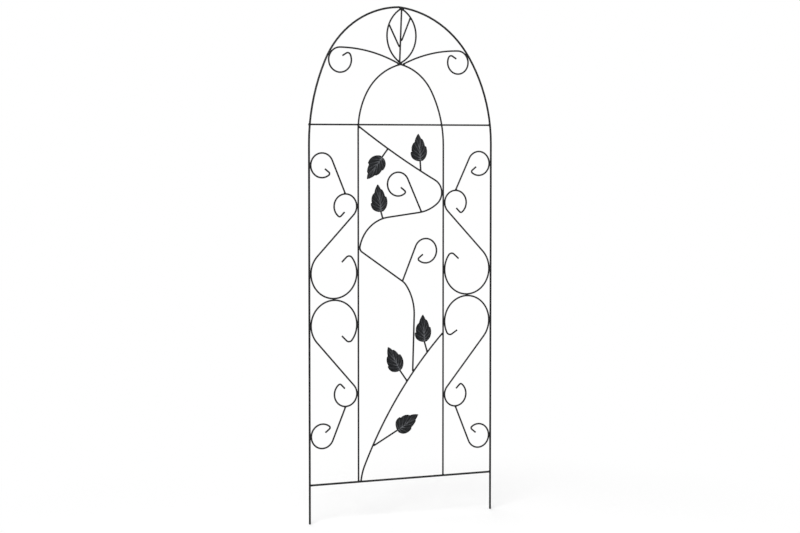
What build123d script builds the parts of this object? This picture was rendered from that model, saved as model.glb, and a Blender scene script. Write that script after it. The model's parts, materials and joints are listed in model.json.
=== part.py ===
from build123d import *
import os
from math import acos, asin, atan2, cos, degrees, hypot, radians, sin, sqrt, tan

# A flat garden trellis arch: two bent hoops, a bottom rail and a crossbar carry
# scrolls at the sides, a leafy vine up the middle and a leaf with scrolls at the top.
# X runs across the panel, Y to the back, Z up; the feet stand at Z = 0. Millimetres.

# Overall size and rod stock
panel_height = 1500.0
panel_width = 600.0
outer_rod = 6.0
inner_rod = 5.0
weld_gap = 0.15

# Outer hoop
outer_rise = 397.5
outer_apex_x = -9.5
outer_left_pitch = 2.0
outer_right_pitch = 6.0
outer_apex_bend = 30.0
outer_left_shoulder = 24.0
outer_right_shoulder = 32.5

# Inner hoop, hung from the top of the panel
crown_height = 166.5
inner_half = 139.0
inner_shift = -2.0
inner_left_rise = 191.0
inner_right_rise = 236.0
inner_apex_x = -4.0
inner_apex_pitch = 14.0
inner_apex_bend = 12.0
inner_shoulder = 28.0

# Straight bars
rail_height = 113.0
crossbar_drop = 345.0
foot_chamfer = 0.8

# Side scrolls: a big and a small loop joined by a straight strut
scroll_meeting = 650.0
small_loop = 36.0
big_hook = 12.0
big_hook_turn = 96.0
big_tail = 20.0
small_overrun = 52.0
small_hook = 6.0
small_hook_turn = 83.0
small_tail = 16.0
scroll_reach = {"upper_left": 268.7, "lower_left": 277.3, "upper_right": 275.7, "lower_right": 295.3}
scroll_overrun = {"upper_left": 38.0, "lower_left": 38.0, "upper_right": 35.0, "lower_right": 26.0}

# Single curls: a straight stem and one loop
curl_loop = 35.5
curl_overrun = 38.0
curl_hook = 5.0
curl_hook_turn = 104.0
curl_tail = 16.0
curl_rise = {"upper_left": 119.0, "lower_left": 119.0, "upper_right": 115.5, "lower_right": 129.5}

# Crown leaf and crown scrolls
midrib_top_x = -0.5
midrib_foot_x = -7.0
bow_left_lift = 7.2
bow_right_lift = 2.5
bow_left_bulge = 44.0
bow_right_bulge = 50.0
bow_bulge_height = 0.48
vein_left_foot = 0.27
vein_right_foot = 0.355
vein_left_top = 0.33
vein_right_top = 0.178
crown_left_curl = 36.0
crown_right_curl = 34.0
crown_left_drop = 155.5
crown_right_drop = 157.5
crown_turn = 295.0
crown_hook = 9.0
crown_hook_turn = 96.0
crown_tail = 14.0
crown_left_landing = -7.5
crown_right_landing = 11.0

# Upper vine, from the crossbar down to the lower vine
vine_start_drop = 4.0
vine_sag = 2400.0
vine_bend_drop = 199.5
vine_bend = 42.0
vine_bend_heading = -141.0
vine_ease = 117.0
vine_cross_heading = -173.0
vine_swing = 106.5
vine_swing_heading = -102.0
vine_tight = 16.0
vine_slide_heading = -34.0
vine_shoulder = 45.0
vine_shoulder_heading = -55.0
vine_fall = 150.0
vine_fall_heading = -91.7
vine_fall_x = 41.0

# Lower vine, from the bottom rail to the right inner stile
lower_foot_offset = 8.0
lower_foot_heading = 83.5
lower_foot_bend = 150.0
lower_heading = 66.6
lower_bow = 1240.0

# Tendrils: their loops, where they leave the vine and how far a loop stands from there
tendril_upper_loop = 34.8
tendril_lower_loop = 36.0
tendril_across = 76.5
tendril_upper_share = 0.88
tendril_upper_rise = 82.8
tendril_lower_rise = 88.0

# Leaves: sheet metal blades, domed across, with raised midrib and veins
leaf_length = 78.0
leaf_width = 53.0
leaf_sheet = 1.0
leaf_dome = 86.0
leaf_notch = 4.5
rib_width = 1.4
rib_height = 0.8
vein_radius = 0.8
stem_lap = 12.0
vein_places = (0.14, 0.36, 0.57)
vein_spread = 0.78
vein_taper = 1.15
vein_rake = 1.1
vein_lift = 0.35

# Edge of a leaf from its base: along, across and the bulge of the stretch that leads there
leaf_outline = (
    (-0.02, 0.32, 1.5),
    (0.33, 1.00, 7.0),
    (0.36, 0.88, 0.0),
    (0.66, 0.66, 2.5),
    (0.70, 0.50, 0.0),
    (1.00, 0.00, 2.0),
    (0.81, -0.30, 0.7),
    (0.78, -0.45, 0.0),
    (0.52, -0.72, 1.5),
    (0.48, -0.92, 0.0),
    (-0.02, -0.32, 8.0),
    (0.00, 0.00, 1.5),
)

os.makedirs("parts", exist_ok=True)

# Rods of both diameters lie with their backs on one plane, so the thin rods sit a
# little behind the centreline of the thick ones.
rod_y = (outer_rod - inner_rod) / 2
rod_radius = inner_rod / 2
outer_half = (panel_width - outer_rod) / 2
outer_touch = sqrt(outer_rod * inner_rod)
inner_left = inner_shift - inner_half
inner_right = inner_shift + inner_half
rod_plane = Plane.XZ.offset(-rod_y)
outer_apex = panel_height - outer_rod / 2
outer_spring = outer_apex - outer_rise
inner_apex = outer_apex - crown_height
crossbar_height = panel_height - crossbar_drop
crossbar_y = rod_y + inner_rod
rail_top = rail_height + outer_rod / 2 + weld_gap


def rod_section(wire):
    """Plane across the start of a rod, turned so that the rod's seam faces no other piece."""
    ahead = wire % 0
    back = Vector(0, 1, 0)
    return Plane(origin=wire @ 0, x_dir=back + ahead.cross(back), z_dir=ahead)


def bent_rod(path, diameter):
    """A round rod along a bent path."""
    wire = path.wire()
    with BuildPart() as rod:
        with BuildSketch(rod_section(wire)):
            Circle(diameter / 2)
        sweep(path=wire)
    return rod


def rod_point(x, z):
    """A point on the middle plane of the thin rods."""
    return Vector(x, rod_y, z)


def butt(angle, mate=inner_rod):
    """Set-back of a square-cut thin rod that is welded to a rod it meets at an angle in degrees."""
    slant = radians(angle)
    return (mate / 2 + rod_radius * abs(cos(slant))) / abs(sin(slant)) + weld_gap


def arch_radii(run, rise, shoulder, pitch):
    """Shoulder and haunch radii of half an arch that leaves its stile upright."""
    turn = radians(shoulder)
    last = radians(90 - pitch)
    across = (1 - cos(turn), cos(turn) - cos(last))
    up = (sin(turn), sin(last) - sin(turn))
    scale = across[0] * up[1] - across[1] * up[0]
    return ((run * up[1] - across[1] * rise) / scale, (across[0] * rise - run * up[0]) / scale)


def hoop(plane, foot, stiles, apex_x, top, rises, shoulders, pitches, bend):
    """Path of a hoop: two upright stiles, two arcs on each side and a small bend at the apex."""
    corner = bend * tan(radians((pitches[0] + pitches[1]) / 2))
    low = top - bend * (1 - cos(radians(pitches[0])))
    apex = low + corner * sin(radians(pitches[0]))
    right_low = apex - corner * sin(radians(pitches[1]))
    left_run = apex_x - corner * cos(radians(pitches[0])) - stiles[0]
    right_run = stiles[1] - apex_x - corner * cos(radians(pitches[1]))
    left_radii = arch_radii(left_run, low - top + rises[0], shoulders[0], pitches[0])
    right_radii = arch_radii(right_run, right_low - top + rises[1], shoulders[1], pitches[1])
    with BuildLine(plane) as path:
        stile = Line((stiles[0], foot), (stiles[0], top - rises[0]))
        side = JernArc(stile @ 1, stile % 1, left_radii[0], -shoulders[0])
        side = JernArc(side @ 1, side % 1, left_radii[1], shoulders[0] + pitches[0] - 90)
        side = JernArc(side @ 1, side % 1, bend, -pitches[0] - pitches[1])
        side = JernArc(side @ 1, side % 1, right_radii[1], shoulders[1] + pitches[1] - 90)
        side = JernArc(side @ 1, side % 1, right_radii[0], -shoulders[1])
        Line(side @ 1, (stiles[1], foot))
    return path, left_radii, right_radii


# Outer hoop: one rod from foot to foot over the top
outer_path, outer_left_radii, outer_right_radii = hoop(
    Plane.XZ, 0, (-outer_half, outer_half), outer_apex_x, outer_apex,
    (outer_rise, outer_rise), (outer_left_shoulder, outer_right_shoulder),
    (outer_left_pitch, outer_right_pitch), outer_apex_bend)
with BuildPart() as outer_hoop:
    with BuildSketch(rod_section(outer_path.wire())):
        Circle(outer_rod / 2)
    sweep(path=outer_path.wire())
    chamfer(outer_hoop.edges().group_by(Axis.Z)[0], foot_chamfer)
outer_hoop.part.label = "outer_hoop"
export_step(outer_hoop.part, "parts/outer_hoop.step")

# Bottom rail: a straight rod butted between the outer stiles
rail_end = outer_half - outer_rod / 2 - weld_gap
with BuildLine(Plane.XZ) as rail_path:
    Line((-rail_end, rail_height), (rail_end, rail_height))
bottom_rail = bent_rod(rail_path, outer_rod)
bottom_rail.part.label = "bottom_rail"
export_step(bottom_rail.part, "parts/bottom_rail.step")

# Inner hoop: stands on the bottom rail
inner_path, inner_left_radii, _ = hoop(
    rod_plane, rail_top, (inner_left, inner_right), inner_apex_x, inner_apex,
    (inner_left_rise, inner_right_rise), (inner_shoulder, inner_shoulder),
    (inner_apex_pitch, inner_apex_pitch), inner_apex_bend)
inner_hoop = bent_rod(inner_path, inner_rod)
inner_hoop.part.label = "inner_hoop"
export_step(inner_hoop.part, "parts/inner_hoop.step")


def inset(radius, rise):
    """How far an arch has leaned in from its stile at a height above the springing."""
    return radius - sqrt(radius**2 - max(rise, 0) ** 2)


# Top crossbar: laid across the backs of both hoops
bar_rise = crossbar_height - outer_spring
bar_left = inset(outer_left_radii[0], bar_rise) - outer_half
bar_right = outer_half - inset(outer_right_radii[0], bar_rise)
bar_rise_left = crossbar_height - inner_apex + inner_left_rise
cross_left = inner_left + inset(inner_left_radii[0], bar_rise_left)
with BuildLine(Plane.XZ.offset(-crossbar_y)) as crossbar_path:
    Line((bar_left, crossbar_height), (bar_right, crossbar_height))
top_crossbar = bent_rod(crossbar_path, inner_rod)
top_crossbar.part.label = "top_crossbar"
export_step(top_crossbar.part, "parts/top_crossbar.step")


def corner_plane(side, end):
    """Plane of a side bay's quarter: x outwards, y away from where the scrolls meet."""
    return Plane(origin=(0, rod_y, scroll_meeting), x_dir=(side, 0, 0), z_dir=(0, -side * end, 0))


def side_scroll(corner, side, end):
    """An S-shaped scroll: big loop across the bay, strut, small loop on the inner stile."""
    quarter = corner_plane(side, end)
    stile = inner_half + side * inner_shift
    reach = scroll_reach[corner]
    big = (outer_half - stile - outer_touch - inner_rod) / 2
    big_u = stile + inner_rod + big
    big_v = big + rod_radius
    small_u = stile + inner_rod + small_loop
    distance = hypot(small_u - big_u, reach - big_v)
    heading = degrees(atan2(reach - big_v, small_u - big_u) + asin((big + small_loop) / distance))
    lean = radians(heading - 90)
    leave = (big_u + big * cos(lean), big_v + big * sin(lean))
    arrive = (small_u - small_loop * cos(lean), reach - small_loop * sin(lean))
    with BuildLine(quarter) as path:
        strut = Line(leave, arrive)
        loop = JernArc(strut @ 1, strut % 1, small_loop, -(heading + 90 + small_overrun))
        hook = JernArc(loop @ 1, loop % 1, small_hook, -small_hook_turn)
        Line(hook @ 1, hook @ 1 + (hook % 1) * small_tail)
        loop = JernArc(strut @ 0, -(strut % 0), big, -(heading + 90 + scroll_overrun[corner]))
        hook = JernArc(loop @ 1, loop % 1, big_hook, -big_hook_turn)
        Line(hook @ 1, hook @ 1 + (hook % 1) * big_tail)
    return bent_rod(path, inner_rod)


def curl_path(plane, foot, centre, radius, mate_heading):
    """A straight stem from a foot on another rod to a loop that ends in a small hook and tail."""
    run = centre[0] - foot[0]
    rise = centre[1] - foot[1]
    heading = degrees(atan2(rise, run) + asin(radius / hypot(run, rise)))
    lean = radians(heading + 90)
    setback = butt(heading - mate_heading)
    start = (foot[0] + setback * sin(lean), foot[1] - setback * cos(lean))
    with BuildLine(plane) as path:
        stem = Line(start, (centre[0] + radius * cos(lean), centre[1] + radius * sin(lean)))
        loop = JernArc(stem @ 1, stem % 1, radius, -(heading + 180 + curl_overrun))
        hook = JernArc(loop @ 1, loop % 1, curl_hook, -curl_hook_turn)
        Line(hook @ 1, hook @ 1 + (hook % 1) * curl_tail)
    return path


def beside_outer(side, height, loop):
    """Distance from the middle to a loop's centre, for a loop inside the outer stile or shoulder."""
    bend = outer_left_radii[0] if side < 0 else outer_right_radii[0]
    above = max(height - outer_spring, 0)
    return outer_half - bend + sqrt((bend - outer_touch - loop) ** 2 - above**2)


def side_curl(corner, side, end):
    """A curl between the small loop of a side scroll and the outer stile."""
    quarter = corner_plane(side, end)
    stile = inner_half + side * inner_shift
    foot = (stile + inner_rod + small_loop, scroll_reach[corner] + small_loop)
    rise = scroll_reach[corner] + curl_rise[corner]
    centre = (beside_outer(side, scroll_meeting + end * rise, curl_loop), rise)
    return bent_rod(curl_path(quarter, foot, centre, curl_loop, 0), inner_rod)


# Side scrolls and curls, two pairs in each side bay
for side, hand in ((-1, "left"), (1, "right")):
    for end, level in ((1, "upper"), (-1, "lower")):
        scroll = side_scroll(f"{level}_{hand}", side, end)
        scroll.part.label = f"scroll_{level}_{hand}"
        export_step(scroll.part, f"parts/scroll_{level}_{hand}.step")
        curl = side_curl(f"{level}_{hand}", side, end)
        curl.part.label = f"curl_{level}_{hand}"
        export_step(curl.part, f"parts/curl_{level}_{hand}.step")


def haunch_centre(radii, shoulder):
    """Centre of the upper arc on one side of the outer hoop, with x outwards."""
    lean = radians(shoulder)
    step = radii[0] - radii[1]
    return outer_half - radii[0] + step * cos(lean), outer_spring + step * sin(lean)


# Crown scrolls: from the apex of the inner hoop out to the outer hoop
crown_pitch = tan(radians(inner_apex_pitch))


def crown_scroll(side, radii, shoulder, landing, curl, height):
    """A long flat arc from the inner apex that ends in a loop against the outer hoop."""
    centre_u, centre_v = haunch_centre(radii, shoulder)
    inside = radii[1] - outer_touch - curl
    curl_u = centre_u + sqrt(inside**2 - (height - centre_v) ** 2)
    end_u = side * (inner_apex_x + landing)
    end_v = inner_apex - abs(landing) * crown_pitch + inner_rod
    face = Plane(origin=(0, rod_y, 0), x_dir=(side, 0, 0), z_dir=(0, -side, 0))
    with BuildLine(face) as path:
        crest = TangentArc((curl_u, height + curl), (end_u, end_v), tangent=Vector(-side, 0, 0))
        loop = JernArc(crest @ 0, -(crest % 0), curl, -crown_turn)
        hook = JernArc(loop @ 1, loop % 1, crown_hook, -crown_hook_turn)
        Line(hook @ 1, hook @ 1 + (hook % 1) * crown_tail)
    return bent_rod(path, inner_rod)


crown_scroll_left = crown_scroll(
    -1, outer_left_radii, outer_left_shoulder,
    crown_left_landing, crown_left_curl, outer_apex - crown_left_drop)
crown_scroll_left.part.label = "crown_scroll_left"
export_step(crown_scroll_left.part, "parts/crown_scroll_left.step")
crown_scroll_right = crown_scroll(
    1, outer_right_radii, outer_right_shoulder,
    crown_right_landing, crown_right_curl, outer_apex - crown_right_drop)
crown_scroll_right.part.label = "crown_scroll_right"
export_step(crown_scroll_right.part, "parts/crown_scroll_right.step")

# Crown leaf: a midrib, two bows and two slanting veins between the hoops, with its tops
# right of the outer hoop's own apex
haunch_x, haunch_z = haunch_centre(outer_right_radii, outer_right_shoulder)


def hoop_height(x):
    """Height of the outer hoop's axis above the crown leaf."""
    return haunch_z + sqrt(outer_right_radii[1] ** 2 - (x - haunch_x) ** 2)


apex_slope = degrees(asin((midrib_top_x - haunch_x) / outer_right_radii[1]))
midrib_foot = (midrib_foot_x, inner_apex + rod_radius + weld_gap)
midrib_top = (midrib_top_x, hoop_height(midrib_top_x) - butt(90 - apex_slope, outer_rod))
with BuildLine(rod_plane) as midrib_path:
    midrib_line = Line(midrib_foot, midrib_top)
crown_midrib = bent_rod(midrib_path, inner_rod)
crown_midrib.part.label = "crown_midrib"
export_step(crown_midrib.part, "parts/crown_midrib.step")

crown_leaf_height = midrib_top[1] - midrib_foot[1]
leaf_middle = midrib_line @ bow_bulge_height


def crown_bow(side, bulge, foot_lift):
    """One curved edge of the crown leaf."""
    lean = 2 * atan2(2 * bulge, crown_leaf_height)
    beside = rod_radius * (1 + cos(lean)) + 2 * weld_gap
    foot = (midrib_foot_x + side * beside, midrib_foot[1] + foot_lift)
    corner_x = midrib_top_x + side * (beside + rod_radius * cos(lean))
    top_z = hoop_height(corner_x) - outer_rod / 2 - rod_radius * sin(lean) - weld_gap
    with BuildLine(rod_plane) as path:
        edge = ThreePointArc(
            foot, (leaf_middle.X + side * bulge, leaf_middle.Z), (midrib_top_x + side * beside, top_z))
    return bent_rod(path, inner_rod), edge


crown_bow_left, bow_left_edge = crown_bow(-1, bow_left_bulge, bow_left_lift)
crown_bow_left.part.label = "crown_bow_left"
export_step(crown_bow_left.part, "parts/crown_bow_left.step")
crown_bow_right, bow_right_edge = crown_bow(1, bow_right_bulge, bow_right_lift)
crown_bow_right.part.label = "crown_bow_right"
export_step(crown_bow_right.part, "parts/crown_bow_right.step")


def crown_vein(foot_place, bow_edge, bow_place):
    """A slanting rod from the midrib of the crown leaf out to one of its bows."""
    foot = midrib_line @ foot_place
    top = bow_edge @ bow_place
    ahead = (top - foot).normalized()
    low = butt(ahead.get_angle(midrib_line % foot_place))
    high = butt(ahead.get_angle(bow_edge % bow_place)) + weld_gap
    with BuildLine(rod_plane) as path:
        Line(foot + ahead * low, top - ahead * high)
    return bent_rod(path, inner_rod)


crown_vein_left = crown_vein(vein_left_foot, bow_left_edge, 1 - vein_left_top)
crown_vein_left.part.label = "crown_vein_left"
export_step(crown_vein_left.part, "parts/crown_vein_left.step")
crown_vein_right = crown_vein(vein_right_foot, bow_right_edge, 1 - vein_right_top)
crown_vein_right.part.label = "crown_vein_right"
export_step(crown_vein_right.part, "parts/crown_vein_right.step")

# Lower vine: rises from the bottom rail and bows across to the right inner stile
lower_x = inner_left + lower_foot_offset
foot_turn = lower_foot_heading - lower_heading
bow_x = lower_x + lower_foot_bend * (sin(radians(lower_foot_heading)) - sin(radians(lower_heading)))
far_sine = sin(radians(lower_heading)) - (inner_right - inner_rod - bow_x) / lower_bow
lower_end_heading = degrees(asin(far_sine))
lower_ahead = Vector(cos(radians(lower_foot_heading)), 0, sin(radians(lower_foot_heading)))
lower_start = butt(lower_foot_heading, outer_rod)
with BuildLine(rod_plane) as lower_path:
    lower_foot = JernArc(
        rod_point(lower_x, rail_height) + lower_ahead * lower_start, lower_ahead,
        lower_foot_bend, -foot_turn)
    lower_edge = JernArc(lower_foot @ 1, lower_foot % 1, lower_bow, lower_end_heading - lower_heading)
vine_lower = bent_rod(lower_path, inner_rod)
vine_lower.part.label = "vine_lower"
export_step(vine_lower.part, "parts/vine_lower.step")

# Upper vine: falls from the crossbar, swings from stile to stile and lands on the lower vine
bend_x = inner_right - inner_rod - vine_bend
bend_z = crossbar_height - vine_bend_drop
start_run = bend_x - cross_left
start_z = crossbar_height - vine_start_drop
start_rise = bend_z - start_z
start_length = hypot(start_run, start_rise)
sag_cosine = (start_length**2 + vine_sag**2 - (vine_sag + vine_bend) ** 2) / (2 * start_length * vine_sag)
sag_bearing = atan2(start_rise, start_run) + acos(sag_cosine)
sag_x = cross_left + vine_sag * cos(sag_bearing)
sag_z = start_z + vine_sag * sin(sag_bearing)
start_heading = degrees(sag_bearing) - 90
bend_heading = degrees(atan2(bend_z - sag_z, bend_x - sag_x)) + 90
swing_run = vine_swing * (sin(radians(vine_cross_heading)) - sin(radians(vine_swing_heading)))
tight_run = vine_tight * (sin(radians(vine_swing_heading)) + 1)
shoulder_run = vine_shoulder * (sin(radians(vine_slide_heading)) - sin(radians(vine_shoulder_heading)))
fall_run = vine_fall * (sin(radians(vine_shoulder_heading)) + 1)
start_angle = start_heading - 90 + degrees(butt(start_heading - 90) / vine_sag)
with BuildLine(rod_plane) as upper_path:
    drop = CenterArc((sag_x, sag_z), vine_sag, start_angle, bend_heading - 90 - start_angle)
    bend = JernArc(drop @ 1, drop % 1, vine_bend, vine_bend_heading - bend_heading)
    ease = JernArc(bend @ 1, bend % 1, vine_ease, vine_cross_heading - vine_bend_heading)
    level_run = (ease @ 1).X - inner_left - inner_rod - swing_run - tight_run
    level = Line(ease @ 1, ease @ 1 + (ease % 1) * (level_run / cos(radians(vine_cross_heading + 180))))
    swing = JernArc(level @ 1, level % 1, vine_swing, vine_swing_heading - vine_cross_heading)
    tight = JernArc(swing @ 1, swing % 1, vine_tight, vine_slide_heading - vine_swing_heading)
    slide_run = vine_fall_x - shoulder_run - fall_run - (tight @ 1).X
    slide = Line(tight @ 1, tight @ 1 + (tight % 1) * (slide_run / cos(radians(vine_slide_heading))))
    shoulder = JernArc(slide @ 1, slide % 1, vine_shoulder, vine_shoulder_heading - vine_slide_heading)
    fall = JernArc(shoulder @ 1, shoulder % 1, vine_fall, vine_fall_heading - vine_shoulder_heading)
    meeting = IntersectingLine(fall @ 1, fall % 1, lower_edge, mode=Mode.PRIVATE)
    landing_angle = (fall % 1).get_angle(lower_edge.tangent_at(meeting @ 1))
    Line(fall @ 1, (meeting @ 1) - (fall % 1) * butt(landing_angle))
vine_upper = bent_rod(upper_path, inner_rod)
vine_upper.part.label = "vine_upper"
export_step(vine_upper.part, "parts/vine_upper.step")

# Tendrils: curls that spring from the upper vine
for level, hand, edge, place, rise, loop in (
    ("upper", -1, ease, tendril_upper_share, tendril_upper_rise, tendril_upper_loop),
    ("lower", 1, slide, 1, tendril_lower_rise, tendril_lower_loop),
):
    foot = edge @ place
    ahead = edge % place
    face = Plane(origin=(0, rod_y, 0), x_dir=(hand, 0, 0), z_dir=(0, -hand, 0))
    foot_uv = (hand * foot.X, foot.Z)
    centre_uv = (foot_uv[0] + tendril_across, foot_uv[1] + rise)
    vine_heading = degrees(atan2(ahead.Z, hand * ahead.X))
    tendril = bent_rod(curl_path(face, foot_uv, centre_uv, loop, vine_heading), inner_rod)
    tendril.part.label = f"tendril_{level}"
    export_step(tendril.part, f"parts/tendril_{level}.step")


def leaf_blade(base, heading):
    """A domed sheet leaf with toothed edges, a raised midrib and slanting veins."""
    along = Vector(cos(radians(heading)), 0, sin(radians(heading)))
    front = base + Vector(0, -rod_radius - leaf_sheet - weld_gap, 0)
    face = Plane(origin=front, x_dir=along, z_dir=(0, -1, 0))
    section = Plane(origin=front - along * leaf_notch, x_dir=face.y_dir, z_dir=along)
    half = leaf_width / 2
    with BuildPart() as blade:
        with BuildSketch(section):
            with Locations((0, -leaf_dome)):
                Circle(leaf_dome)
                Circle(leaf_dome - leaf_sheet, mode=Mode.SUBTRACT)
            Rectangle(leaf_width + 2 * leaf_notch, leaf_width / 2, mode=Mode.INTERSECT)
        extrude(amount=leaf_length + 2 * leaf_notch)
        with BuildSketch(section):
            Ellipse(rib_width, rib_height)
        extrude(amount=leaf_length)
        for place in vein_places:
            for hand in (-1, 1):
                root = place * leaf_length
                out = vein_spread * half * (vein_taper - place)
                sink = leaf_dome - sqrt(leaf_dome**2 - out**2)
                begin = face.from_local_coords((root, 0, vein_lift))
                finish = face.from_local_coords((root + vein_rake * out, hand * out, vein_lift - sink))
                with BuildSketch(Plane(origin=begin, z_dir=finish - begin)):
                    Circle(vein_radius)
                extrude(amount=(finish - begin).length)
        with BuildSketch(face.offset(-half)):
            with BuildLine():
                last = (0, 0)
                for ahead, across, bulge in leaf_outline:
                    corner = (ahead * leaf_length, across * half)
                    if bulge:
                        SagittaArc(last, corner, bulge)
                    else:
                        Line(last, corner)
                    last = corner
            make_face()
        extrude(amount=leaf_width, mode=Mode.INTERSECT)
    return blade


def leaf_stem(foot, base, setback):
    """A short straight rod from the vine that laps under its leaf."""
    ahead = (base - foot).normalized()
    with BuildLine(rod_plane) as path:
        Line(foot + ahead * setback, base + ahead * stem_lap)
    return bent_rod(path, inner_rod)


# Leaves: where each stem leaves the vine, its length and heading, and the leaf's heading
leaf_places = (
    ("1", drop, 0.812, 32.5, 94.0, 95.0),
    ("2", drop, 0.380, 34.0, 231.6, 232.5),
    ("3", swing, 0.135, 24.0, 106.5, 97.5),
    ("4", lower_edge, 0.845, 36.0, 107.0, 93.5),
    ("5", lower_edge, 0.612, 44.0, 126.0, 118.7),
    ("6", lower_edge, 0.132, 95.0, 28.0, 32.5),
)
for name, edge, place, length, stem_heading, blade_heading in leaf_places:
    foot = edge @ place
    base = foot + Vector(cos(radians(stem_heading)), 0, sin(radians(stem_heading))) * length
    blade = leaf_blade(base, blade_heading)
    blade.part.label = f"leaf_{name}"
    export_step(blade.part, f"parts/leaf_{name}.step")
    stem = leaf_stem(foot, base, butt((edge % place).get_angle(base - foot)))
    stem.part.label = f"leaf_stem_{name}"
    export_step(stem.part, f"parts/leaf_stem_{name}.step")
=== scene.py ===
"""Dresses the metal trellis arch: coated rods, weld beads and pressed leaves in a plain studio."""

import json
import logging
import math
from dataclasses import dataclass, field
from enum import Enum
from itertools import combinations
from typing import Any, Iterable, Union

import bmesh
import bpy
import numpy as np
from mathutils import Euler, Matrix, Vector, noise
from mathutils.bvhtree import BVHTree

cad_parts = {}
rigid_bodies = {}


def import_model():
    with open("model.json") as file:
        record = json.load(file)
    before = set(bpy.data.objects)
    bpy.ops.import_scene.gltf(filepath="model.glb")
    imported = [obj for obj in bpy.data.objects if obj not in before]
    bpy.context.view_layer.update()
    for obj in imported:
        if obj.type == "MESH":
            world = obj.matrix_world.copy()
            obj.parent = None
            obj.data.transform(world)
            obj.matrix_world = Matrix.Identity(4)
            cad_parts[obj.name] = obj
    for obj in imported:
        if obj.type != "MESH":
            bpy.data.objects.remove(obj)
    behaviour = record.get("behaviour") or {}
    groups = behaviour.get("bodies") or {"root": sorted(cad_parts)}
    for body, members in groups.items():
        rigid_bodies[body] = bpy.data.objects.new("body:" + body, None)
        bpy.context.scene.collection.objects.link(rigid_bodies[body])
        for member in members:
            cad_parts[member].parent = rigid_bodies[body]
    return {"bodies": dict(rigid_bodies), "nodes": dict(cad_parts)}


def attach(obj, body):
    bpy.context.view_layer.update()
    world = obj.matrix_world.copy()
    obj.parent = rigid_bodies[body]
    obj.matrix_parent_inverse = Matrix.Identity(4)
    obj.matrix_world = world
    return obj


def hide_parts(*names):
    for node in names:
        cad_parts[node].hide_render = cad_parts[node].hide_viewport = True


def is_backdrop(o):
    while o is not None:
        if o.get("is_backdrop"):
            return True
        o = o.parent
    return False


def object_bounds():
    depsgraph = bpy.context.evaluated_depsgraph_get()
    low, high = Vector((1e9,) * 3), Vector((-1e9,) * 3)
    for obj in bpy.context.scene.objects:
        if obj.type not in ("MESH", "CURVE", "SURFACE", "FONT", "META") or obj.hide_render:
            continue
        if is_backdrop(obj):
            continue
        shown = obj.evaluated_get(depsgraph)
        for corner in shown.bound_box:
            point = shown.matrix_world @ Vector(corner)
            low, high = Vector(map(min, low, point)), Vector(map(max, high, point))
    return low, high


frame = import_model()

LOG = logging.getLogger("trellis")
MM = 0.001
ROOT_BODY = "root"
BACKWARD = Vector((0, 1, 0))
Colour = tuple[float, float, float, float]
Span = tuple[float, float]


class Slot(Enum):
    """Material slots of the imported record."""

    RODS = "rod_coating"
    LEAVES = "leaf_coating"


class Region(Enum):
    """Sub-assemblies of the panel, each with the first words of its pieces' names."""

    FRAME = ("outer_hoop", "bottom_rail", "inner_hoop", "top_crossbar")
    SIDES = ("scroll_", "curl_")
    CROWN = ("crown_",)
    VINE = ("vine_", "tendril_", "leaf_stem_")
    LEAVES = ("leaf_1", "leaf_2", "leaf_3", "leaf_4", "leaf_5", "leaf_6")

    @classmethod
    def of(cls, node: str) -> "Region":
        """Finds the sub-assembly that a CAD piece belongs to.

        Args:
            node: Name of the CAD piece.

        Returns:
            The region whose names the piece starts with.
        """
        return next(region for region in cls if node.startswith(region.value))

    @classmethod
    def later_of(cls, *nodes: str) -> "Region":
        """Finds which sub-assembly of some CAD pieces comes last in the list above.

        Args:
            *nodes: Names of the CAD pieces.

        Returns:
            The last of their regions.
        """
        return max((cls.of(node) for node in nodes), key=list(cls).index)


@dataclass(frozen=True)
class Wire:
    """A shader socket that takes part in Python arithmetic on values."""

    shop: "NodeShop"
    socket: bpy.types.NodeSocket

    def _maths(self, operation: str, *terms: "Operand") -> "Wire":
        """Adds one Math node.

        Args:
            operation: Name of the Math node's operation.
            *terms: Its operands, in order.

        Returns:
            The node's value.
        """
        return self.shop.node("ShaderNodeMath", {"operation": operation}, dict(enumerate(terms)))

    def __add__(self, other: "Operand") -> "Wire":
        """Sum of two values."""
        return self._maths("ADD", self, other)

    def __radd__(self, other: "Operand") -> "Wire":
        """Sum of two values."""
        return self._maths("ADD", other, self)

    def __sub__(self, other: "Operand") -> "Wire":
        """Difference of two values."""
        return self._maths("SUBTRACT", self, other)

    def __rsub__(self, other: "Operand") -> "Wire":
        """Difference of two values."""
        return self._maths("SUBTRACT", other, self)

    def __mul__(self, other: "Operand") -> "Wire":
        """Product of two values."""
        return self._maths("MULTIPLY", self, other)

    def __rmul__(self, other: "Operand") -> "Wire":
        """Product of two values."""
        return self._maths("MULTIPLY", other, self)

    def ramp(self, low: float, high: float) -> "Wire":
        """Rises smoothly from 0 to 1 between two values.

        Args:
            low: Value at which the rise starts.
            high: Value at which it ends.

        Returns:
            The eased share of the way.
        """
        settings = {"interpolation_type": "SMOOTHSTEP"}
        return self.shop.node("ShaderNodeMapRange", settings, {"Value": self, 1: low, 2: high})


Operand = Union[Wire, float]


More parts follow.
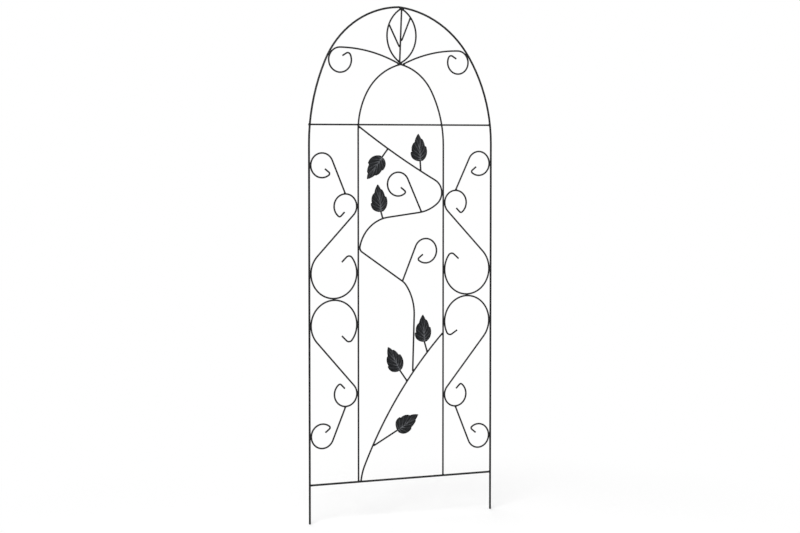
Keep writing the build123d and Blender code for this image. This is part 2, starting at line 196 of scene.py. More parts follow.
@dataclass(frozen=True)
class NodeShop:
    """Makes and links the nodes of one material or world."""

    tree: bpy.types.NodeTree

    def node(
        self,
        kind: str,
        settings: dict[str, Any] | None = None,
        inputs: dict[Union[str, int], Any] | None = None,
        output: Union[str, int] = 0,
    ) -> Wire:
        """Adds a node, sets it up and links it.

        Args:
            kind: Blender's type name of the node.
            settings: Properties of the node, set before its sockets.
            inputs: Values or wires for its input sockets, by name or number.
            output: Name or number of the output socket to return.

        Returns:
            The chosen output, or the first input of a node that has no output.
        """
        made = self.tree.nodes.new(kind)
        for name, value in (settings or {}).items():
            setattr(made, name, value)
        for key, value in (inputs or {}).items():
            if isinstance(value, Wire):
                self.tree.links.new(value.socket, made.inputs[key])
            else:
                made.inputs[key].default_value = value
        return Wire(self, made.outputs[output] if made.outputs else made.inputs[0])

    def noise(self, where: Wire, size: float, detail: float = 3.0, rough: float = 0.55) -> Wire:
        """Soft noise with patches of a given size.

        Args:
            where: Place on the surface, in metres.
            size: Size of a patch, in metres.
            detail: Number of finer layers.
            rough: Strength of the finer layers.

        Returns:
            A value around one half.
        """
        sockets = {"Vector": where, "Scale": 1 / size, "Detail": detail, "Roughness": rough}
        return self.node("ShaderNodeTexNoise", None, sockets)

    def blend(self, share: Operand, first: Any, second: Any) -> Wire:
        """Mixes two colours.

        Args:
            share: 0 for the first colour, 1 for the second.
            first: A colour or a wire.
            second: A colour or a wire.

        Returns:
            The mixed colour.
        """
        return self.node("ShaderNodeMix", {"data_type": "RGBA"}, {0: share, 6: first, 7: second}, 2)

    def place(self) -> Wire:
        """Place on the surface in the part's frame, in metres."""
        return self.node("ShaderNodeTexCoord", output="Object")

    def seen(self) -> Wire:
        """1 for rays from the camera and for those that gloss or glass sends on, 0 for the rest."""
        names = ("Is Camera Ray", "Is Glossy Ray", "Is Transmission Ray")
        camera, gloss, glass = (self.node("ShaderNodeLightPath", output=name) for name in names)
        return (camera + gloss + glass).ramp(0.0, 1.0)

    def bump(self, height: Wire, depth: float, below: Wire | None = None) -> Wire:
        """Normal of a surface with a fine relief.

        Args:
            height: Relief from 0 to 1.
            depth: Depth of the relief, in metres.
            below: Normal of a coarser relief that it lies on.

        Returns:
            The bent normal.
        """
        sockets: dict[Union[str, int], Any] = {"Height": height, "Distance": depth, "Strength": 1.0}
        if below:
            sockets["Normal"] = below
        return self.node("ShaderNodeBump", None, sockets)

    def coat(self, colour: Wire, roughness: Wire, normal: Wire, gloss: float) -> None:
        """Ends a material in a coated surface.

        Args:
            colour: Colour of the coating.
            roughness: Its roughness.
            normal: Its bent normal.
            gloss: Its specular level, the same all over.
        """
        sockets = {"Base Color": colour, "Roughness": roughness, "Normal": normal}
        shader = self.node("ShaderNodeBsdfPrincipled", None, {**sockets, "Specular IOR Level": gloss})
        self.node("ShaderNodeOutputMaterial", None, {"Surface": shader})


def new_material(name: str) -> tuple[bpy.types.Material, NodeShop]:
    """Makes an empty node material.

    Args:
        name: Name of the finish.

    Returns:
        The material and the shop for its nodes.
    """
    material = bpy.data.materials.new(name)
    material.use_nodes = True
    material.node_tree.nodes.clear()
    return material, NodeShop(material.node_tree)


@dataclass(frozen=True)
class RodCoating:
    """Satin black coating on drawn steel rod, with a little dust and a few worn specks."""

    name: str = "rod_coating_satin"
    dark: Colour = (0.0040, 0.0040, 0.0045, 1.0)
    pale: Colour = (0.0105, 0.0105, 0.0115, 1.0)
    dust: Colour = (0.040, 0.039, 0.037, 1.0)
    speck: Colour = (0.075, 0.040, 0.024, 1.0)
    cloud_size: float = 18 * MM
    peel_size: float = 0.9 * MM
    peel_depth: float = 0.10 * MM
    dent_size: float = 5 * MM
    dent_depth: float = 0.30 * MM
    speck_spacing: float = 9 * MM
    pale_cloud: Span = (0.3, 0.75)
    dusty_slope: Span = (0.2, 1.0)
    dusty_cloud: Span = (0.35, 0.7)
    dust_share: float = 0.35
    speck_edge: Span = (0.04, 0.10)
    speck_cloud: Span = (0.55, 0.68)
    speck_share: float = 0.8
    roughness: float = 0.30
    cloud_roughness: float = 0.18
    dust_roughness: float = 0.14
    gloss: float = 0.17

    def material(self) -> bpy.types.Material:
        """Builds the finish.

        Returns:
            The rods' material.
        """
        material, shop = new_material(self.name)
        where = shop.place()
        cloud = shop.noise(where, self.cloud_size, detail=5.0, rough=0.6)
        peel = shop.noise(where, self.peel_size, detail=2.0)
        dent = shop.noise(where, self.dent_size, detail=1.0, rough=0.4)
        normal = shop.node("ShaderNodeNewGeometry", output="Normal")
        up = shop.node("ShaderNodeSeparateXYZ", None, {0: normal}, "Z")
        dusty = up.ramp(*self.dusty_slope) * cloud.ramp(*self.dusty_cloud) * self.dust_share
        cell = shop.node("ShaderNodeTexVoronoi", None, {"Vector": where, "Scale": 1 / self.speck_spacing})
        worn = (1 - cell.ramp(*self.speck_edge)) * cloud.ramp(*self.speck_cloud)
        colour = shop.blend(cloud.ramp(*self.pale_cloud), self.dark, self.pale)
        colour = shop.blend(dusty, colour, self.dust)
        colour = shop.blend(worn * self.speck_share, colour, self.speck)
        relief = shop.bump(peel, self.peel_depth, shop.bump(dent, self.dent_depth))
        roughness = self.roughness + self.cloud_roughness * cloud + self.dust_roughness * dusty
        shop.coat(colour, roughness, relief, self.gloss)
        return material


@dataclass(frozen=True)
class WeldCoating:
    """The same coating over a lumpy weld bead, rougher and with a less even tone."""

    name: str = "weld_bead_coated"
    dark: Colour = (0.0035, 0.0035, 0.0040, 1.0)
    pale: Colour = (0.0125, 0.0120, 0.0125, 1.0)
    ripple_size: float = 1.1 * MM
    ripple_depth: float = 0.22 * MM
    grit_size: float = 0.5 * MM
    grit_depth: float = 0.08 * MM
    pale_ripple: Span = (0.35, 0.7)
    roughness: float = 0.46
    grit_roughness: float = 0.2
    gloss: float = 0.12

    def material(self) -> bpy.types.Material:
        """Builds the finish.

        Returns:
            The weld beads' material.
        """
        material, shop = new_material(self.name)
        where = shop.place()
        ripple = shop.noise(where, self.ripple_size, detail=2.0, rough=0.5)
        grit = shop.noise(where, self.grit_size, detail=2.0)
        colour = shop.blend(ripple.ramp(*self.pale_ripple), self.dark, self.pale)
        relief = shop.bump(grit, self.grit_depth, shop.bump(ripple, self.ripple_depth))
        shop.coat(colour, self.roughness + self.grit_roughness * grit, relief, self.gloss)
        return material


@dataclass(frozen=True)
class LeafCoating:
    """Black coating on pressed sheet, with painted highlight and wear on the veins and painted shade in
    hollows.
    """

    name: str = "leaf_coating_pressed"
    # valley_shade is painted shade for the low places and the net's grooves.
    valley_shade: Colour = (0.0014, 0.0017, 0.0022, 1.0)
    sheet: Colour = (0.0115, 0.0124, 0.0142, 1.0)
    # The ridge and crest colours are painted highlight together with wear of the coating on the raised
    # veins.
    ridge_highlight_and_wear: Colour = (0.066, 0.069, 0.075, 1.0)
    crest: Colour = (0.150, 0.155, 0.165, 1.0)
    dust: Colour = (0.060, 0.060, 0.059, 1.0)
    cloud_size: float = 9 * MM
    net_size: float = 2.6 * MM
    net_depth: float = 0.10 * MM
    peel_size: float = 0.7 * MM
    peel_depth: float = 0.05 * MM
    groove_edge: Span = (0.02, 0.16)
    sheet_relief: Span = (0.0, 0.45)
    ridge_relief: Span = (0.25, 1.0)
    ridge_cloud: Span = (0.22, 0.72)
    crest_relief: Span = (0.68, 1.0)
    crest_cloud: Span = (0.25, 0.60)
    dusty_cloud: Span = (0.52, 0.75)
    dust_share: float = 0.10
    roughness: float = 0.40
    cloud_roughness: float = 0.16
    ridge_smoothness: float = 0.08
    gloss: float = 0.12

    def material(self) -> bpy.types.Material:
        """Builds the finish; the mesh attribute "relief" holds where the painted highlight goes.

        Returns:
            The leaves' material.
        """
        material, shop = new_material(self.name)
        where = shop.place()
        relief = shop.node("ShaderNodeAttribute", {"attribute_name": "relief"}, None, "Fac")
        cloud = shop.noise(where, self.cloud_size, detail=4.0, rough=0.6)
        net = shop.node(
            "ShaderNodeTexVoronoi",
            {"feature": "DISTANCE_TO_EDGE"},
            {"Vector": where, "Scale": 1 / self.net_size},
        )
        peel = shop.noise(where, self.peel_size, detail=2.0)
        groove = net.ramp(*self.groove_edge)
        # Painted highlight with wear: the ridge colour on the raised veins and pillows, the crest colour
        # on their tops.
        raised = relief.ramp(*self.ridge_relief) * cloud.ramp(*self.ridge_cloud)
        crest_highlight_and_wear = relief.ramp(*self.crest_relief) * cloud.ramp(*self.crest_cloud)
        # Painted shade: the valley colour goes where the relief attribute is low and along the net's
        # grooves.
        colour = shop.blend(relief.ramp(*self.sheet_relief) * groove, self.valley_shade, self.sheet)
        colour = shop.blend(raised, colour, self.ridge_highlight_and_wear)
        colour = shop.blend(crest_highlight_and_wear, colour, self.crest)
        colour = shop.blend(cloud.ramp(*self.dusty_cloud) * self.dust_share, colour, self.dust)
        normal = shop.bump(peel, self.peel_depth, shop.bump(groove, self.net_depth))
        roughness = self.roughness + self.cloud_roughness * cloud - self.ridge_smoothness * relief
        shop.coat(colour, roughness, normal, self.gloss)
        return material


@dataclass(frozen=True)
class StudioFloor:
    """Plain pale floor that keeps the shadow and fades into the white backdrop."""

    name: str = "studio_floor"
    pale: Colour = (1.0, 1.0, 1.0, 1.0)
    white: Colour = (1.0, 1.0, 1.0, 1.0)
    fade_start: float = 0.35
    fade_end: float = 1.4

    def material(self) -> bpy.types.Material:
        """Builds the finish.

        Returns:
            The floor's material.
        """
        material, shop = new_material(self.name)
        where = shop.place()
        away = shop.node("ShaderNodeVectorMath", {"operation": "LENGTH"}, {0: where}, "Value")
        matt = shop.node("ShaderNodeBsdfDiffuse", None, {"Color": self.pale})
        glow = shop.node("ShaderNodeEmission", None, {"Color": self.white, "Strength": 1.0})
        fade = away.ramp(self.fade_start, self.fade_end) * shop.seen()
        mixed = shop.node("ShaderNodeMixShader", None, {0: fade, 1: matt, 2: glow})
        shop.node("ShaderNodeOutputMaterial", None, {"Surface": mixed})
        return material


def new_piece(name: str, mesh: bmesh.types.BMesh, finish: bpy.types.Material) -> bpy.types.Object:
    """Turns a finished bmesh into a smooth object.

    Args:
        name: Name of the piece.
        mesh: Its geometry, which is freed.
        finish: Its material.

    Returns:
        The linked object.
    """
    data = bpy.data.meshes.new(name)
    mesh.to_mesh(data)
    mesh.free()
    data.shade_smooth()
    data.materials.append(finish)
    piece = bpy.data.objects.new(name, data)
    bpy.context.scene.collection.objects.link(piece)
    return piece


@dataclass
class Rods:
    """The bent rods of one region, which keep their CAD shape."""

    region: Region

    def nodes(self) -> list[str]:
        """Names of the region's CAD pieces."""
        return [name for name in sorted(frame["nodes"]) if Region.of(name) is self.region]

    def dress(self, finish: bpy.types.Material) -> list[bpy.types.Object]:
        """Gives every rod its coating.

        Args:
            finish: The rods' material.

        Returns:
            The rods.
        """
        rods = [frame["nodes"][name] for name in self.nodes()]
        for rod in rods:
            rod.data.materials.clear()
            rod.data.materials.append(finish)
        return rods


@dataclass
class Contact:
    """A spot where two CAD pieces touch, with half the length, width and depth of its bead."""

    centre: Vector
    along: Vector
    reach: float
    across: float
    depth: float
    region: Region


@dataclass
class Skin:
    """Close points on the surface of a CAD piece, for finding where others touch it."""

    node: str
    pitch: float
    least_rim: int = 12
    widest: float = 4 * MM
    uneven: float = 0.1 * MM
    points: np.ndarray = field(init=False)
    tree: BVHTree = field(init=False)
    low: np.ndarray = field(init=False)
    high: np.ndarray = field(init=False)
    ends: list[tuple[Vector, float]] = field(init=False)

    def __post_init__(self) -> None:
        """Samples the edges of the piece's mesh and finds its square-cut ends."""
        data = frame["nodes"][self.node].data
        places = np.array([vertex.co[:] for vertex in data.vertices])
        links = np.array([edge.vertices[:] for edge in data.edges])
        start, end = places[links[:, 0]], places[links[:, 1]]
        steps = np.ceil(np.linalg.norm(end - start, axis=1) / self.pitch)
        steps = np.maximum(1, steps).astype(int)
        which = np.repeat(np.arange(len(steps)), steps)
        first = np.repeat(np.cumsum(steps) - steps, steps)
        share = (np.arange(len(which)) - first + 0.5) / steps[which]
        self.points = start[which] + (end[which] - start[which]) * share[:, None]
        faces = [polygon.vertices[:] for polygon in data.polygons]
        self.tree = BVHTree.FromPolygons([Vector(place) for place in places], faces)
        self.low, self.high = places.min(0), places.max(0)
        self.ends = self.square_ends(places, links)

    def square_ends(self, places: np.ndarray, links: np.ndarray) -> list[tuple[Vector, float]]:
        """Finds a rod's square-cut ends, which are round patches of the mesh with no edge to the rest.

        Args:
            places: The mesh's vertices.
            links: Numbers of the two vertices of each edge.

        Returns:
            The centre and radius of each end.
        """
        patch, merged = np.full(len(places), -1), np.arange(len(places))
        while np.any(merged != patch):
            patch = merged
            merged = patch.copy()
            np.minimum.at(merged, links, patch[links].min(1)[:, None])
            merged = merged[merged]
        ends = []
        for first in np.unique(patch):
            rim = places[patch == first]
            radii = np.linalg.norm(rim - rim.mean(0), axis=1)
            if len(rim) > self.least_rim and radii.max() < self.widest and np.ptp(radii) < self.uneven:
                ends.append((Vector(rim.mean(0)), radii.mean()))
        return ends

    def apart(self, other: "Skin", near: float) -> bool:
        """Tells whether the boxes of two pieces are too far apart for them to touch.

        Args:
            other: The other piece.
            near: Largest distance that counts as touching.

        Returns:
            True if they can't touch.
        """
        return bool(np.any(self.low > other.high + near) or np.any(other.low > self.high + near))

    def touches(self, other: "Skin", near: float) -> list[tuple[float, Vector]]:
        """Finds points of this piece that lie close to another one.

        Args:
            other: The piece that may touch this one.
            near: Largest distance that counts.

        Returns:
            The distance and the middle of each close pair of points.
        """
        inside = np.all((self.points > other.low - near) & (self.points < other.high + near), axis=1)
        found = []
        for point in self.points[inside]:
            place, _, _, gap = other.tree.find_nearest(Vector(point), near)
            if place is not None:
                found.append((gap, (Vector(point) + place) / 2))
        return found


@dataclass
class WeldBeads:
    """Beads of weld metal at every spot where two pieces of the panel touch."""

    pitch: float = 2.0 * MM
    near: float = 0.75 * MM
    least_weight: float = 1e-12
    spread: float = 13 * MM
    lengthen: float = 1.5
    shortest: float = 3.7 * MM
    longest: float = 6.8 * MM
    across: float = 3.4 * MM
    depth: float = 3.2 * MM
    lump: float = 0.45 * MM
    lump_size: float = 2.4 * MM
    behind_leaf: float = 2.8 * MM
    end_reach: float = 1.8
    collar: float = 0.7 * MM
    fillet: float = 1.5 * MM
    fineness: int = 3
    box: tuple[Vector, Vector] = field(default_factory=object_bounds)

    def contacts(self) -> list[Contact]:
        """Finds every touching spot of the panel.

        Returns:
            One contact for each spot.
        """
        skins = [Skin(name, self.pitch) for name in sorted(frame["nodes"])]
        found = []
        for first, second in combinations(skins, 2):
            if first.apart(second, self.near):
                continue
            close = first.touches(second, self.near) + second.touches(first, self.near)
            region = Region.later_of(first.node, second.node)
            spots = self.group(sorted(close, key=lambda pair: pair[0]), region)
            if region is not Region.LEAVES:
                for spot in spots:
                    self.seat(spot, first, second)
                    self.seat(spot, second, first)
            found += spots
        return found

    def group(self, close: list[tuple[float, Vector]], region: Region) -> list[Contact]:
        """Gathers close points of one pair of pieces into spots.

        Args:
            close: Distances and places, nearest first.
            region: Sub-assembly of the later piece.

        Returns:
            The spots of this pair.
        """
        spots = []
        while close:
            seed = close[0][1]
            mine = [pair for pair in close if (pair[1] - seed).length < self.spread]
            close = [pair for pair in close if (pair[1] - seed).length >= self.spread]
            weights = np.array([(self.near - gap) ** 2 + self.least_weight for gap, _ in mine])
            places = np.array([place[:] for _, place in mine])
            centre = np.average(places, axis=0, weights=weights)
            offset = places - centre
            turn = np.linalg.eigh(np.einsum("n,ni,nj->ij", weights, offset, offset))[1][:, -1]
            length = math.sqrt(np.average((offset @ turn) ** 2, weights=weights)) * self.lengthen
            reach = min(max(length, self.shortest), self.longest)
            spots.append(Contact(Vector(centre), Vector(turn), reach, self.across, self.depth, region))
        return spots

    def seat(self, spot: Contact, rod: Skin, mate: Skin) -> None:
        """Moves a bead into the wedge under a square-cut end, if the rod is butted there.

        Args:
            spot: The contact, which is changed.
            rod: The piece whose ends are looked at.
            mate: The piece that it touches.
        """
        for end, radius in rod.ends:
            if (end - spot.centre).length < self.end_reach * radius:
                place = mate.tree.find_nearest(end)[0]
                wedge = end - place
                spot.centre = (end + place) / 2
                spot.along = wedge.cross(BACKWARD)
                spot.reach = math.hypot(radius, wedge.length) + self.collar
                spot.across = wedge.length / 2 + self.fillet
                spot.depth = radius + self.collar

    def bead(self, mesh: bmesh.types.BMesh, contact: Contact) -> None:
        """Adds one lumpy bead, kept inside the CAD box.

        Args:
            mesh: Where the bead is added.
            contact: The spot that it covers.
        """
        ahead = (contact.along - BACKWARD * contact.along.dot(BACKWARD)).normalized()
        if not ahead.length:
            ahead = Vector((1, 0, 0))
        side = BACKWARD.cross(ahead)
        centre = contact.centre + BACKWARD * (self.behind_leaf if contact.region is Region.LEAVES else 0.0)
        made = bmesh.ops.create_icosphere(mesh, subdivisions=self.fineness, radius=1.0)
        for vertex in made["verts"]:
            shape = vertex.co.copy()
            place = ahead * shape.x * contact.reach + side * shape.y * contact.across
            place += BACKWARD * shape.z * contact.depth
            swell = noise.noise((centre + place) / self.lump_size) * self.lump
            point = centre + place + place.normalized() * swell
            vertex.co = [min(max(value, low), high) for value, low, high in zip(point, *self.box)]

    def build(self, finish: bpy.types.Material) -> list[bpy.types.Object]:
        """Makes the beads, one piece for each sub-assembly.

        Args:
            finish: The beads' material.

        Returns:
            The pieces.
        """
        contacts = self.contacts()
        pieces = []
        for region in Region:
            mesh = bmesh.new()
            for contact in contacts:
                if contact.region is region:
                    self.bead(mesh, contact)
            piece = new_piece(f"weld_beads_{region.name.lower()}", mesh, finish)
            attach(piece, ROOT_BODY)
            pieces.append(piece)
        return pieces


@dataclass(frozen=True)
class Stretch:
    """A stretch of a leaf's edge: where it ends along and across, and how far it bulges."""

    along: float
    across: float
    bulge: float


def bell(distance: np.ndarray, width: float) -> np.ndarray:
    """Bell curve that is 1 at no distance and falls off over a width."""
    return np.exp(-((distance / width) ** 2))


@dataclass
class PressedLeaf:
    """A toothed leaf pressed from sheet, with raised midrib and veins; stands for a plain CAD leaf."""

    node: str
    left: tuple[Stretch, ...] = (
        Stretch(-0.02, 0.32, 1.5 * MM),
        Stretch(0.33, 1.00, 7.0 * MM),
        Stretch(0.36, 0.88, 0.0),
        Stretch(0.66, 0.66, 2.5 * MM),
        Stretch(0.70, 0.50, 0.0),
        Stretch(1.00, 0.00, 2.0 * MM),
    )
    right: tuple[Stretch, ...] = (
        Stretch(-0.02, -0.32, 1.5 * MM),
        Stretch(0.48, -0.92, 8.0 * MM),
        Stretch(0.52, -0.72, 0.0),
        Stretch(0.78, -0.45, 1.5 * MM),
        Stretch(0.81, -0.30, 0.0),
        Stretch(1.00, 0.00, 0.7 * MM),
    )
    sheet: float = 1.0 * MM
    proud: float = 1.15 * MM
    crest_slack: float = 0.05 * MM
    dome: float = 86 * MM
    rows: int = 120
    row_shares: Span = (0.012, 0.994)
    columns: int = 18
    stretch_points: int = 40
    rake: float = 2.0
    rib_height: float = 0.95 * MM
    rib_width: float = 1.15 * MM
    rib_taper: float = 0.6
    vein_height: float = 0.65 * MM
    vein_width: float = 0.85 * MM
    vein_taper: float = 0.55
    vein_stop: float = 0.93
    puff: float = 1.10 * MM
    puff_widths: float = 4.0
    rim_turn: float = 0.55 * MM
    rim_width: float = 1.3 * MM
    wave: float = 0.45 * MM
    wave_size: float = 17 * MM
    wave_middle: float = 0.6
    wave_change: float = 40.0
    saw_pitch: float = 4.2 * MM
    saw_depth: float = 0.75 * MM
    saw_fade: float = 8.0
    # These fields set the painted highlight along the veins, midrib and pillows, and the painted shade at
    # the rim.
    bloom: float = 2.8
    vein_light: float = 0.9
    vein_light_taper: float = 0.35
    spine_light_taper: float = 0.5
    puff_light: float = 0.45
    rim_shade: float = 0.5
    sharp_angle: float = 50.0
    vein_shares: tuple[float, ...] = (0.22, 0.40, 0.56, 0.72, 0.87)
    vein_setback: float = 0.74
    base: np.ndarray = field(init=False)
    ahead: np.ndarray = field(init=False)
    aside: np.ndarray = field(init=False)
    front: float = field(init=False)
    length: float = field(init=False)
    half: float = field(init=False)

    def __post_init__(self) -> None:
        """Reads the place, heading and size of the leaf from its CAD piece."""
        places = np.array([vertex.co[:] for vertex in frame["nodes"][self.node].data.vertices])
        flat = places[:, (0, 2)]
        foremost = places[:, 1].min()
        crest = flat[places[:, 1] < foremost + self.crest_slack].mean(0)
        tip = flat[np.argmax(np.linalg.norm(flat - crest, axis=1))]
        self.ahead = (tip - crest) / np.linalg.norm(tip - crest)
        self.aside = np.array((-self.ahead[1], self.ahead[0]))
        lobe = min(stretch.along for stretch in self.left)
        left_most = max(stretch.across for stretch in self.left)
        right_most = min(stretch.across for stretch in self.right)
        self.length = np.ptp(flat @ self.ahead) / (1 - lobe)
        self.half = np.ptp(flat @ self.aside) / (left_most - right_most)
        self.base = tip - self.ahead * self.length
        self.front = foremost + self.proud

    def margin(self, stretches: Iterable[Stretch], side: int) -> tuple[np.ndarray, np.ndarray]:
        """Draws one side of the leaf's edge, from base to tip.

        Args:
            stretches: The stretches of that side.
            side: 1 for the left and -1 for the right.

        Returns:
            Run, along and across of its points, and the share of the run at each stretch's end.
        """
        points = [np.zeros((1, 2))]
        for stretch in stretches:
            start = points[-1][-1]
            end = np.array((stretch.along * self.length, stretch.across * self.half))
            share = np.linspace(0, 1, self.stretch_points)[1:, None]
            out = np.array((start[1] - end[1], end[0] - start[0])) * side / np.linalg.norm(end - start)
            points.append(start + (end - start) * share + out * stretch.bulge * 4 * share * (1 - share))
        line = np.concatenate(points)
        run = np.concatenate(([0], np.cumsum(np.linalg.norm(np.diff(line, axis=0), axis=1))))
        last = np.cumsum([len(part) for part in points])[1:] - 1
        return np.column_stack((run, line)), run[last] / run[-1]

    def edge_at(self, line: np.ndarray, share: np.ndarray, side: int) -> np.ndarray:
        """Finds points of a side's edge, with its fine saw teeth.

        Args:
            line: Run, along and across of that side.
            share: Shares of the edge's length.
            side: 1 for the left and -1 for the right.

        Returns:
            Points along and across.
        """
        run = share * line[-1, 0]
        point = np.column_stack([np.interp(run, line[:, 0], line[:, column]) for column in (1, 2)])
        fade = np.clip(np.minimum(share, 1 - share) * self.saw_fade, 0, 1)
        cut = (1 - (run / self.saw_pitch) % 1.0) * self.saw_depth * fade
        return point - np.column_stack((np.zeros_like(cut), side * cut))

    def from_vein(self, point: np.ndarray, veins: list[tuple[np.ndarray, np.ndarray]]) -> np.ndarray:
        """Distance of points from the nearest side vein.

        Args:
            point: Points along and across.
            veins: Ends of the side veins.

        Returns:
            The distances.
        """
        nearest = np.full(len(point), np.inf)
        for start, end in veins:
            reach = end - start
            foot = np.clip(((point - start) @ reach) / (reach @ reach), 0, self.vein_stop)
            nearest = np.minimum(nearest, np.linalg.norm(point - start - foot[..., None] * reach, axis=-1))
        return nearest

    def height(
        self,
        point: np.ndarray,
        share: float,
        edge: np.ndarray,
        veins: list[tuple[np.ndarray, np.ndarray]],
    ) -> tuple[np.ndarray, np.ndarray]:
        """Relief of the pressed sheet.

        Args:
            point: Distances from the base, and from the midrib with its side.
            share: Share of the way from the midrib to the edge.
            edge: Distance to the edge.
            veins: Ends of the side veins.

        Returns:
            Height in front of the sheet, and the painted highlight there less painted shade at the rim,
            from 0 to 1.
        """
        along, across = point[:, 0], point[:, 1]
        nearest = self.from_vein(point, veins)
        rib = bell(across, self.rib_width) * (1 - self.rib_taper * along / self.length)
        vein = bell(nearest, self.vein_width) * (1 - self.vein_taper * share)
        pillow = (1 - bell(nearest, self.puff_widths * self.vein_width)) * np.sin(np.pi * share)
        rim = bell(edge, self.rim_width)
        sink = self.dome - np.sqrt(self.dome**2 - across**2)
        layer = self.base[0] * self.wave_change
        wave = np.array([noise.noise(Vector((*spot, layer))) for spot in point / self.wave_size])
        lift = self.rib_height * rib + self.vein_height * vein * (1 - rib) + self.puff * (pillow - 1)
        lift += self.wave * (wave - self.wave_middle) * share - self.rim_turn * rim - sink
        # Painted highlight: pale halos along the side veins and midrib and over the pillows, less painted
        # shade at the turned rim.
        glow = bell(nearest, self.bloom * self.vein_width) * (1 - self.vein_light_taper * share)
        spine = bell(across, self.bloom * self.vein_width)
        spine *= 1 - self.spine_light_taper * along / self.length
        light = np.maximum(np.maximum(self.vein_light * glow, spine), self.puff_light * pillow)
        return np.minimum(lift, self.proud), np.clip(light - self.rim_shade * rim, 0, 1)

    def build(self, finish: bpy.types.Material) -> bpy.types.Object:
        """Makes the leaf and hides the plain one.

        Args:
            finish: The leaves' material.

        Returns:
            The piece.
        """
        left, left_ends = self.margin(self.left, 1)
        right, right_ends = self.margin(self.right, -1)
        rows = np.linspace(*self.row_shares, self.rows)
        shares = np.unique(np.concatenate((rows, left_ends[:-1], right_ends[:-1])))
        across_shares = (1 - np.cos(np.linspace(0, np.pi, self.columns + 1))) / 2
        spine = np.column_stack((self.length * shares**self.rake, np.zeros_like(shares)))
        sides = {side: self.edge_at(line, shares, side) for side, line in ((1, left), (-1, right))}
        veins = []
        for side, line in ((1, left), (-1, right)):
            for share in self.vein_shares:
                start = np.array((self.length * (self.vein_setback * share) ** self.rake, 0.0))
                veins.append((start, self.edge_at(line, np.array([share]), side)[0]))
        columns = []
        for step in range(-self.columns, self.columns + 1):
            side = 1 if step >= 0 else -1
            share = across_shares[abs(step)]
            point = spine + (sides[side] - spine) * share
            edge = np.linalg.norm(sides[side] - spine, axis=1) * (1 - share)
            columns.append((point, *self.height(point, share, edge, veins)))
        return self.solid(columns, finish)

    @staticmethod
    def border(columns: list[list[bmesh.types.BMVert]]) -> list[bmesh.types.BMVert]:
        """Goes once round the edge of a layer.

        Args:
            columns: The layer's vertices, column by column.

        Returns:
            The vertices of its edge, in order.
        """
        near_half = [column[0] for column in columns] + columns[-1][1:]
        return near_half + [column[-1] for column in columns[-2::-1]] + columns[0][-2:0:-1]

    def solid(
        self,
        columns: list[tuple[np.ndarray, np.ndarray, np.ndarray]],
        finish: bpy.types.Material,
    ) -> bpy.types.Object:
        """Turns columns of surface points into a closed sheet.

        Args:
            columns: Points, heights and painted highlight from the right edge to the left.
            finish: The leaves' material.

        Returns:
            The piece.
        """
        mesh = bmesh.new()
        relief = mesh.verts.layers.float.new("relief")
        layers: list[list[list[bmesh.types.BMVert]]] = [[], []]
        for layer, depth in zip(layers, (0.0, self.sheet)):
            for point, lift, ridge_highlight_and_wear in columns:
                flat = self.base + point[:, :1] * self.ahead + point[:, 1:] * self.aside
                column = []
                for place, rise, crest in zip(flat, lift, ridge_highlight_and_wear):
                    vertex = mesh.verts.new((place[0], self.front - rise + depth, place[1]))
                    # The relief attribute carries the painted highlight, less the painted rim shade, to
                    # the leaf material.
                    vertex[relief] = crest
                    column.append(vertex)
                layer.append(column)
        for layer, order in zip(layers, (-1, 1)):
            for first, second in zip(layer, layer[1:]):
                for low in range(len(first) - 1):
                    quad = (first[low], second[low], second[low + 1], first[low + 1])
                    mesh.faces.new(quad[::order])
        over, under = (self.border(layer) for layer in layers)
        for here in range(len(over)):
            after = (here + 1) % len(over)
            mesh.faces.new((over[here], over[after], under[after], under[here]))
        bmesh.ops.recalc_face_normals(mesh, faces=mesh.faces)
        piece = new_piece(f"pressed_{self.node}", mesh, finish)
        piece.data.set_sharp_from_angle(angle=math.radians(self.sharp_angle))
        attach(piece, ROOT_BODY)
        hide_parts(self.node)
        return piece


@dataclass(frozen=True)
class SoftBox:
    """A large square lamp that faces the panel."""

    name: str
    place: tuple[float, float, float]
    size: float
    power: float

    def build(self, aim: Vector) -> None:
        """Hangs the lamp.

        Args:
            aim: Point that it faces.
        """
        lamp = bpy.data.lights.new(self.name, "AREA")
        lamp.size = self.size
        lamp.energy = self.power
        hung = bpy.data.objects.new(self.name, lamp)
        hung.location = self.place
        hung.rotation_euler = (aim - hung.location).to_track_quat("-Z", "Y").to_euler()
        bpy.context.scene.collection.objects.link(hung)


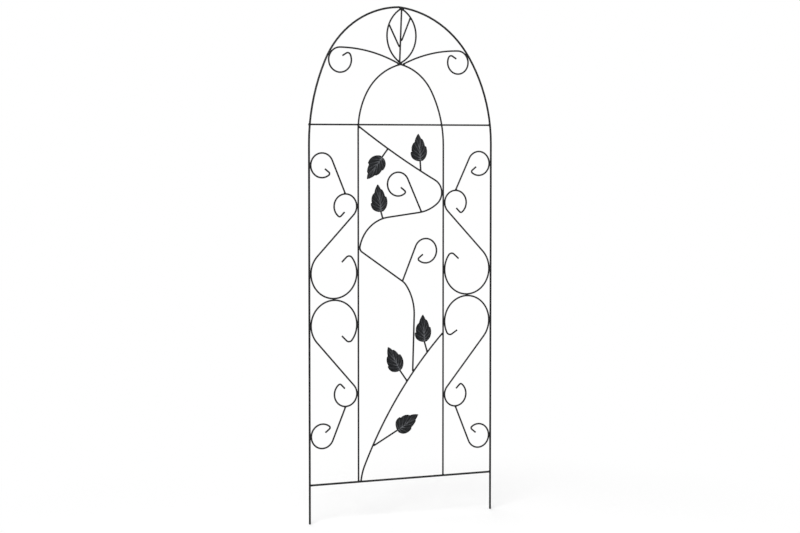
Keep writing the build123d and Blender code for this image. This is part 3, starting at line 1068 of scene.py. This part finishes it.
@dataclass
class Studio:
    """Floor, backdrop, lamps and camera."""

    turn: float = 26.40
    aim_turn: float = 26.35
    distance: float = 6.2
    eye_height: float = 1.0957
    tilt: float = 3.285
    focal_pixels: float = 2115.1
    frame_pixels: int = 800
    sensor_width: float = 36.0
    farthest: float = 200.0
    floor_half: float = 40.0
    floor_parts: int = 8
    white: Colour = (1.0, 1.0, 1.0, 1.0)
    world_strength: float = 0.34
    lamps: tuple[SoftBox, ...] = (
        SoftBox("key_softbox", (-2.6, -3.0, 3.4), 2.2, 172.0),
        SoftBox("fill_softbox", (3.0, -2.6, 1.8), 2.6, 46.0),
        SoftBox("back_softbox", (0.6, 3.2, 2.8), 2.6, 68.0),
    )

    def build(self) -> None:
        """Sets up the whole studio."""
        self.lay_floor()
        self.light_world()
        low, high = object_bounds()
        for lamp in self.lamps:
            lamp.build((low + high) / 2)
        self.set_camera()

    def lay_floor(self) -> None:
        """Lays the floor under the feet."""
        mesh = bmesh.new()
        parts = self.floor_parts
        bmesh.ops.create_grid(mesh, x_segments=parts, y_segments=parts, size=self.floor_half)
        floor = new_piece("studio_floor", mesh, StudioFloor().material())
        floor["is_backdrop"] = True

    def light_world(self) -> None:
        """Makes the white backdrop that also gives even light."""
        world = bpy.data.worlds.new("studio_backdrop")
        world.use_nodes = True
        world.node_tree.nodes.clear()
        shop = NodeShop(world.node_tree)
        strength = self.world_strength + (1 - self.world_strength) * shop.seen()
        sky = shop.node("ShaderNodeBackground", None, {"Color": self.white, "Strength": strength})
        shop.node("ShaderNodeOutputWorld", None, {"Surface": sky})
        bpy.context.scene.world = world

    def set_camera(self) -> None:
        """Places the camera at the photograph's viewing angle."""
        lens = bpy.data.cameras.new("photo_camera")
        lens.sensor_width = self.sensor_width
        lens.lens = self.focal_pixels / self.frame_pixels * lens.sensor_width
        lens.clip_end = self.farthest
        camera = bpy.data.objects.new("photo_camera", lens)
        turn = math.radians(self.turn)
        left, ahead = self.distance * math.sin(turn), self.distance * math.cos(turn)
        camera.location = (-left, -ahead, self.eye_height)
        camera.rotation_euler = Euler((math.radians(90 - self.tilt), 0, -math.radians(self.aim_turn)))
        bpy.context.scene.collection.objects.link(camera)
        bpy.context.scene.camera = camera


def clear_startup() -> None:
    """Removes Blender's own first objects, whose cube would count in the CAD box."""
    kept = set(frame["nodes"].values()) | set(frame["bodies"].values())
    for stray in [item for item in bpy.data.objects if item not in kept]:
        bpy.data.objects.remove(stray)


def main() -> None:
    """Builds and dresses the trellis, piece by piece."""
    logging.basicConfig(level=logging.INFO, format="%(name)s: %(message)s")
    clear_startup()
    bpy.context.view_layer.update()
    rods = RodCoating().material()
    for region in (Region.FRAME, Region.SIDES, Region.CROWN, Region.VINE):
        for rod in Rods(region).dress(rods):
            LOG.info("coated %s", rod.name)
    for beads in WeldBeads().build(WeldCoating().material()):
        LOG.info("made %s, %d faces", beads.name, len(beads.data.polygons))
    leaves = LeafCoating().material()
    for node in Region.LEAVES.value:
        leaf = PressedLeaf(node).build(leaves)
        LOG.info("made %s, %d faces", leaf.name, len(leaf.data.polygons))
    Studio().build()
    LOG.info("set up the studio")
    bpy.context.scene.view_settings.view_transform = "Standard"


if __name__ == "__main__":
    main()
